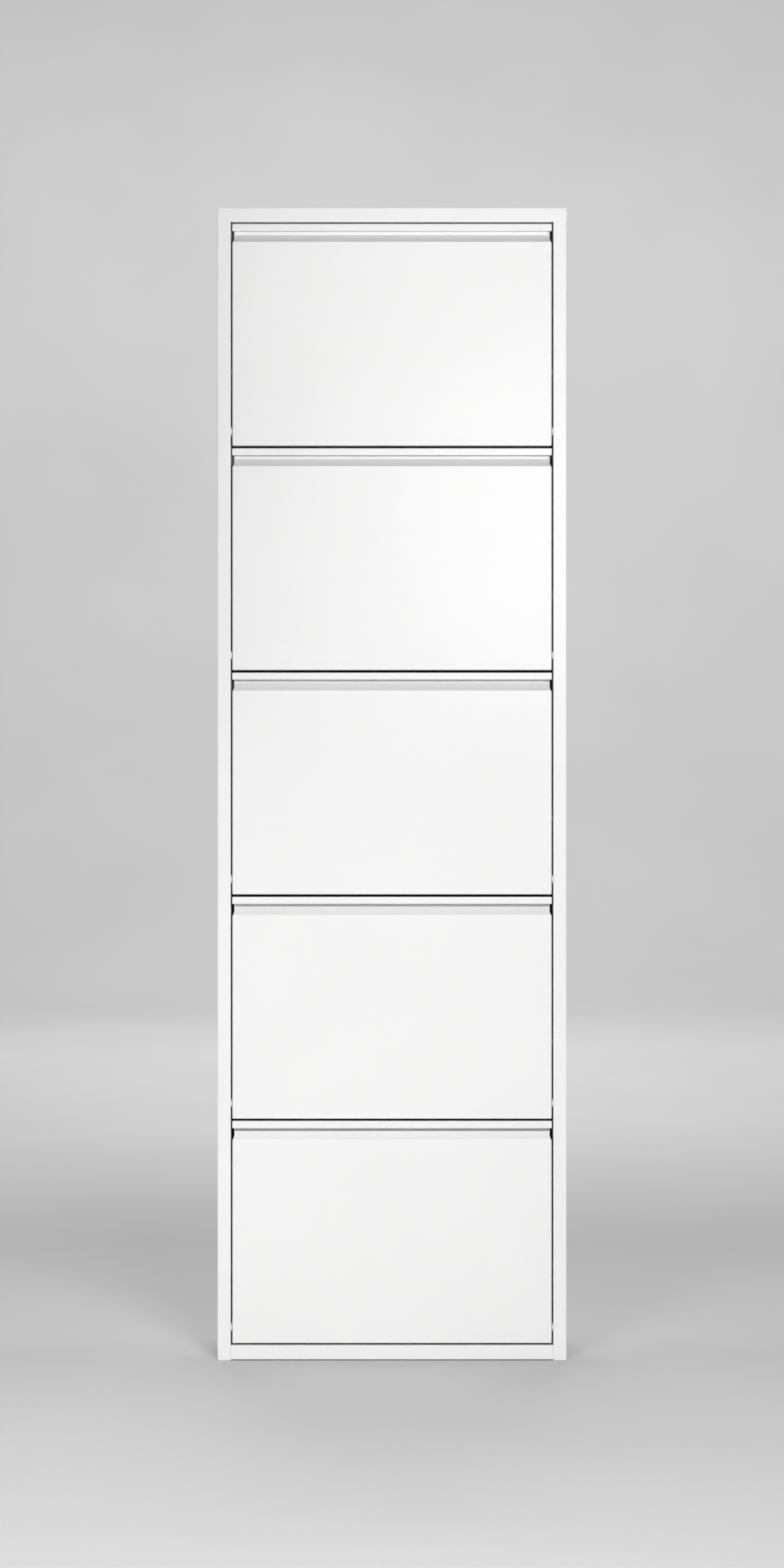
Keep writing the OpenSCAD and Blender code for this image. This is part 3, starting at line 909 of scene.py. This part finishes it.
flap_shape, pan_shape = flap_sheet(), pan_sheet()
right_cheek, left_cheek = mirrored(cheek_plate())
bars = [placed(bar_shape(), at=(0, *place)) for place in bar_places]
end_walls = mirrored(groove_end_wall())
pins = mirrored(pin_shape())
bushes = mirrored(bush_shape())
sleeves = mirrored(placed(sleeve_shape(), at=(0, *stop_place)))
screws = mirrored(placed(stop_screw_shape(), at=(0, *stop_place)))
screws += mirrored(placed(nut_shape(), at=(0, *stop_place)))

for number in range(1, FLAPS + 1):
    body = f"flap_{number}"
    at = (0, *PIVOTS[body][1:])

    def here(solids):
        return [placed(solid, at=at) for solid in solids]

    piece(f"flap_sheet_{number}", here([flap_shape, *end_walls]), WHITE, body, "white_steel",
          f"{body}_front", rim=RIM)
    piece(f"cheek_plate_right_{number}", here([right_cheek]), WHITE, body, "white_steel",
          f"{body}_cheek_right")
    piece(f"cheek_plate_left_{number}", here([left_cheek]), WHITE, body, "white_steel",
          f"{body}_cheek_left")
    piece(f"pan_sheet_{number}", here([pan_shape]), WHITE, body, "white_steel", f"{body}_pan", rim=RIM)
    piece(f"rest_bars_{number}", here(bars), BAR, body, "bar_steel", f"{body}_rest_bars")
    piece(f"pins_{number}", here(pins), STEEL, body, "pin_steel", f"{body}_pivot_pins")
    piece(f"bushes_{number}", here(bushes), NYLON, "cabinet", "nylon", f"pivot_bushes_{number}")
    piece(f"sleeves_{number}", here(sleeves), NYLON, "cabinet", "nylon", f"stop_sleeves_{number}")
    piece(f"stop_screws_{number}", here(screws), STEEL, "cabinet", "pin_steel", f"stop_pins_{number}")


# ---------------------------------------------------------------- floor, light and camera

def studio():
    """A pale round studio: a floor disc, a quarter-round cove and a wall, turned about the z axis."""
    reach, cove, rise, around, rings = 8.5, 2.5, 7.0, 96, 24
    angle = np.linspace(0, math.pi / 2, 17)
    floor = np.linspace(0, 1, rings)[1:-1] * (reach - cove)
    radius = np.concatenate([floor, reach - cove + cove * np.sin(angle), [reach]])
    height = np.concatenate([np.zeros(len(floor)), cove - cove * np.cos(angle), [rise]])
    turn = 2 * math.pi * np.arange(around) / around
    vertices = np.stack([radius[:, None] * np.cos(turn), radius[:, None] * np.sin(turn),
                         height[:, None] + np.zeros(around)], 2).reshape(-1, 3)
    here = np.arange(around)
    after = (here + 1) % around
    low = np.arange(len(radius) - 1)[:, None] * around
    quads = np.stack([here + low, here + low + around, after + low + around, after + low], 2).reshape(-1, 4)
    mesh = bpy.data.meshes.new("studio")
    mesh.from_pydata(vertices.tolist(), [], [here.tolist()] + quads.tolist())
    mesh.polygons.foreach_set("use_smooth", np.ones(len(mesh.polygons), bool))
    material, tree, shader = finish_nodes("studio paint", (0.5, 0.5, 0.5), 0.75)
    tone = spread(tree, noise(tree, 1.5, 2), 0, 1)
    tree.links.new(tint(tree, tone, (0.49, 0.49, 0.49), (0.51, 0.51, 0.51)), shader.inputs["Base Color"])
    mesh.materials.append(material)
    room = bpy.data.objects.new("studio", mesh)
    bpy.context.scene.collection.objects.link(room)


def soft_light(name, place, target, size, power, spread_angle=180):
    """An area light of a width and height, with its power in watts, turned from its place to its target.

    The spread angle, in degrees, is as wide as its grid lets the light out.
    """
    data = bpy.data.lights.new(name, "AREA")
    data.shape = "RECTANGLE"
    data.size, data.size_y = size
    data.energy = power
    data.spread = math.radians(spread_angle)
    light = bpy.data.objects.new(name, data)
    bpy.context.scene.collection.objects.link(light)
    light.location = place
    light.rotation_euler = (Vector(target) - Vector(place)).to_track_quat("-Z", "Y").to_euler()
    light.visible_camera = False


def camera():
    """Level camera straight in front, at half the cabinet's height."""
    distance, seen_height, sensor, eye = 4.0, 2.285, 36.0, 0.84
    data = bpy.data.cameras.new("camera")
    data.sensor_width = sensor
    data.lens = sensor * distance / seen_height
    made = bpy.data.objects.new("camera", data)
    bpy.context.scene.collection.objects.link(made)
    made.location = (0, front_y - distance, eye)
    made.rotation_euler = (math.pi / 2, 0, 0)
    bpy.context.scene.camera = made


studio()
middle = (0, 0, 0.85)
soft_light("key", (0.5, front_y - 2.1, 1.37), (-0.9, 0, -0.4), (0.7, 0.5), 36.1)
soft_light("upper fill", (0.1, front_y - 2.3, 1.25), (0.15, 0, 2.05), (0.7, 0.5), 1.85, 50)
soft_light("lower fill", (-0.9, front_y - 2.3, 1.45), (-0.1, 0, -0.3), (0.7, 0.5), 3.78, 65)
soft_light("left side", (-2.6, 0.5, 1.3), middle, (1.2, 2.2), 26)
soft_light("right side", (2.6, 0.5, 1.3), middle, (1.2, 2.2), 26)
soft_light("back", (0, 2.6, 2.3), middle, (2.4, 1.6), 30)
soft_light("top", (0, 1.0, 3.4), (0, 0, 1.6), (1.6, 1.6), 22)
soft_light("far wall", (0, 3.2, 4.0), (0, 8.5, 1.0), (4.0, 1.5), 330)
soft_light("near wall", (0, -4.2, 3.6), (0, -8.5, 1.0), (4.0, 1.5), 70)
world = bpy.data.worlds.new("studio air")
world.use_nodes = True
air = world.node_tree.nodes["Background"]
air.inputs["Color"].default_value = (1, 1, 1, 1)
air.inputs["Strength"].default_value = 0.03
bpy.context.scene.world = world
bpy.context.scene.view_settings.view_transform = "Standard"
camera()
